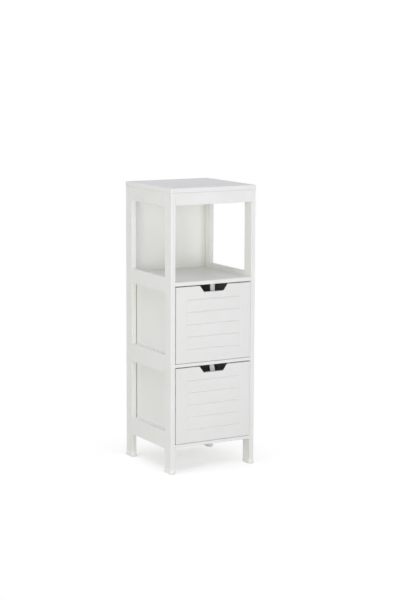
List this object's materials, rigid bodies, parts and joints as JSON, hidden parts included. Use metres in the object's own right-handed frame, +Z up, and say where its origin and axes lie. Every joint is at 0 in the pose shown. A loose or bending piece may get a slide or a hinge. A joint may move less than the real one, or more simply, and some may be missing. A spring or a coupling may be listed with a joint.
{
  "type": "bathroom storage tower",
  "caption": "Narrow free-standing bathroom tower: open compartment with side windows over two grooved drawers with grip cut-outs, on four capped legs.",
  "frame": {"origin": "on the floor under the middle of the tower", "axes": "+Z up along the height; the drawer fronts and the open front face -Y; +X is the right side seen from the front"},
  "size_m": [0.3048, 0.3048, 0.89],
  "materials": {
    "white_lacquer": "satin white lacquer over fibreboard",
    "white_hardboard": "matt white painted hardboard",
    "white_box_board": "matt white foil on board",
    "beech": "plain planed wood",
    "stop_plastic": "moulded translucent grey-white plastic",
    "foot_plastic": "moulded white plastic",
    "zinc": "die-cast zinc",
    "steel": "zinc-plated steel"
  },
  "bodies": {
    "carcass": {"top_board": "white_lacquer", "front_apron": "white_lacquer", "rear_top_rail": "white_lacquer", "front_left_post": "white_lacquer", "front_right_post": "white_lacquer", "rear_left_post": "white_lacquer", "rear_right_post": "white_lacquer", "left_top_rail": "white_lacquer", "left_shelf_rail": "white_lacquer", "left_middle_rail": "white_lacquer", "left_bottom_rail": "white_lacquer", "right_top_rail": "white_lacquer", "right_shelf_rail": "white_lacquer", "right_middle_rail": "white_lacquer", "right_bottom_rail": "white_lacquer", "shelf_board": "white_lacquer", "middle_board": "white_lacquer", "bottom_board": "white_lacquer", "back_panel": "white_hardboard", "upper_left_side_panel": "white_hardboard", "upper_right_side_panel": "white_hardboard", "lower_left_side_panel": "white_hardboard", "lower_right_side_panel": "white_hardboard", "upper_drawer_guides": "beech", "lower_drawer_guides": "beech", "upper_drawer_stop": "stop_plastic", "lower_drawer_stop": "stop_plastic", "front_left_foot_cap": "foot_plastic", "front_right_foot_cap": "foot_plastic", "rear_left_foot_cap": "foot_plastic", "rear_right_foot_cap": "foot_plastic", "frame_dowels": "beech", "board_dowels": "beech", "frame_cam_bolts": "steel", "frame_cam_discs": "zinc", "back_panel_screws": "steel", "stop_screws": "steel"},
    "upper_drawer": {"upper_drawer_front": "white_lacquer", "upper_drawer_left_side": "white_box_board", "upper_drawer_right_side": "white_box_board", "upper_drawer_back": "white_box_board", "upper_drawer_bottom": "white_hardboard", "upper_drawer_cam_bolts": "steel", "upper_drawer_cam_discs": "zinc", "upper_drawer_dowels": "beech", "upper_drawer_screws": "steel"},
    "lower_drawer": {"lower_drawer_front": "white_lacquer", "lower_drawer_left_side": "white_box_board", "lower_drawer_right_side": "white_box_board", "lower_drawer_back": "white_box_board", "lower_drawer_bottom": "white_hardboard", "lower_drawer_cam_bolts": "steel", "lower_drawer_cam_discs": "zinc", "lower_drawer_dowels": "beech", "lower_drawer_screws": "steel"}
  },
  "joints": [
    {"name": "upper_drawer_slide", "type": "slide", "parent": "carcass", "child": "upper_drawer", "axis": [0, -1, 0], "range_m": [0, 0.2565]},
    {"name": "lower_drawer_slide", "type": "slide", "parent": "carcass", "child": "lower_drawer", "axis": [0, -1, 0], "range_m": [0, 0.2565]}
  ]
}
